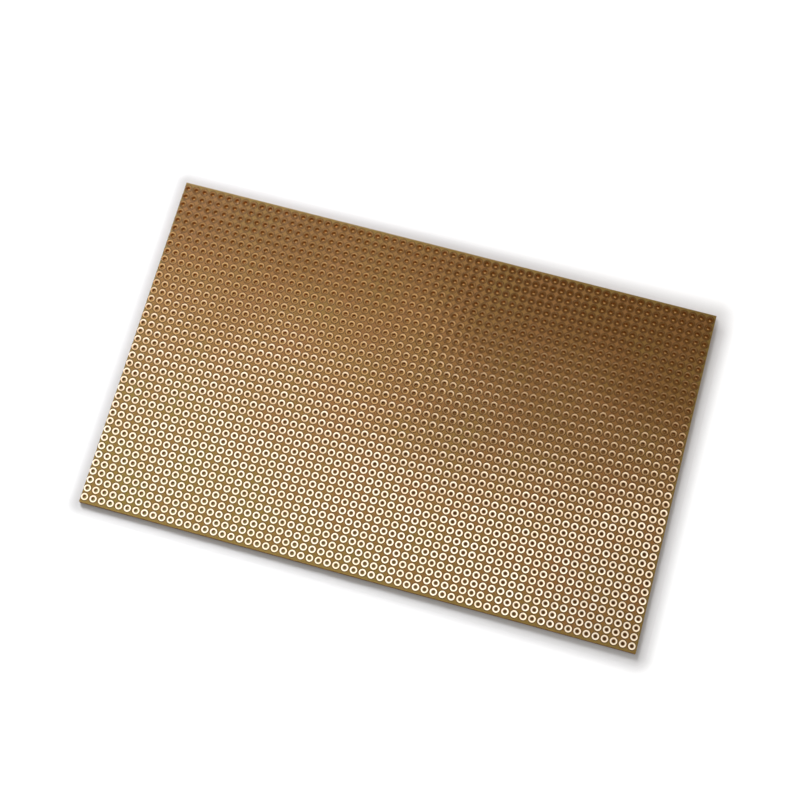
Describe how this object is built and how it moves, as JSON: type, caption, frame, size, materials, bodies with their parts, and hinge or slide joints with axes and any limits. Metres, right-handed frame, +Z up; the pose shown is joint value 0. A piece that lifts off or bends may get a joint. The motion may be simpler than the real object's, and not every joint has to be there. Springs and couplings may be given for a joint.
{
  "type": "prototype board",
  "caption": "Flat rectangular prototyping board of brown phenolic-paper laminate, drilled with a square grid of holes, each ringed on one side by a bare copper pad for soldering leads.",
  "frame": {"origin": "middle of the underside, where the board rests", "axes": "+X along the board's length, +Y along its width, +Z up out of the copper side"},
  "size_m": [0.16, 0.1, 0.0015],
  "materials": {
    "phenolic_laminate": "brown phenolic-paper laminate, satin, with fine paper fibre showing",
    "copper_foil": "bare copper foil, matt to satin, lightly dulled"
  },
  "bodies": {
    "root": {"laminate": "phenolic_laminate", "copper_pads": "copper_foil"}
  },
  "joints": []
}
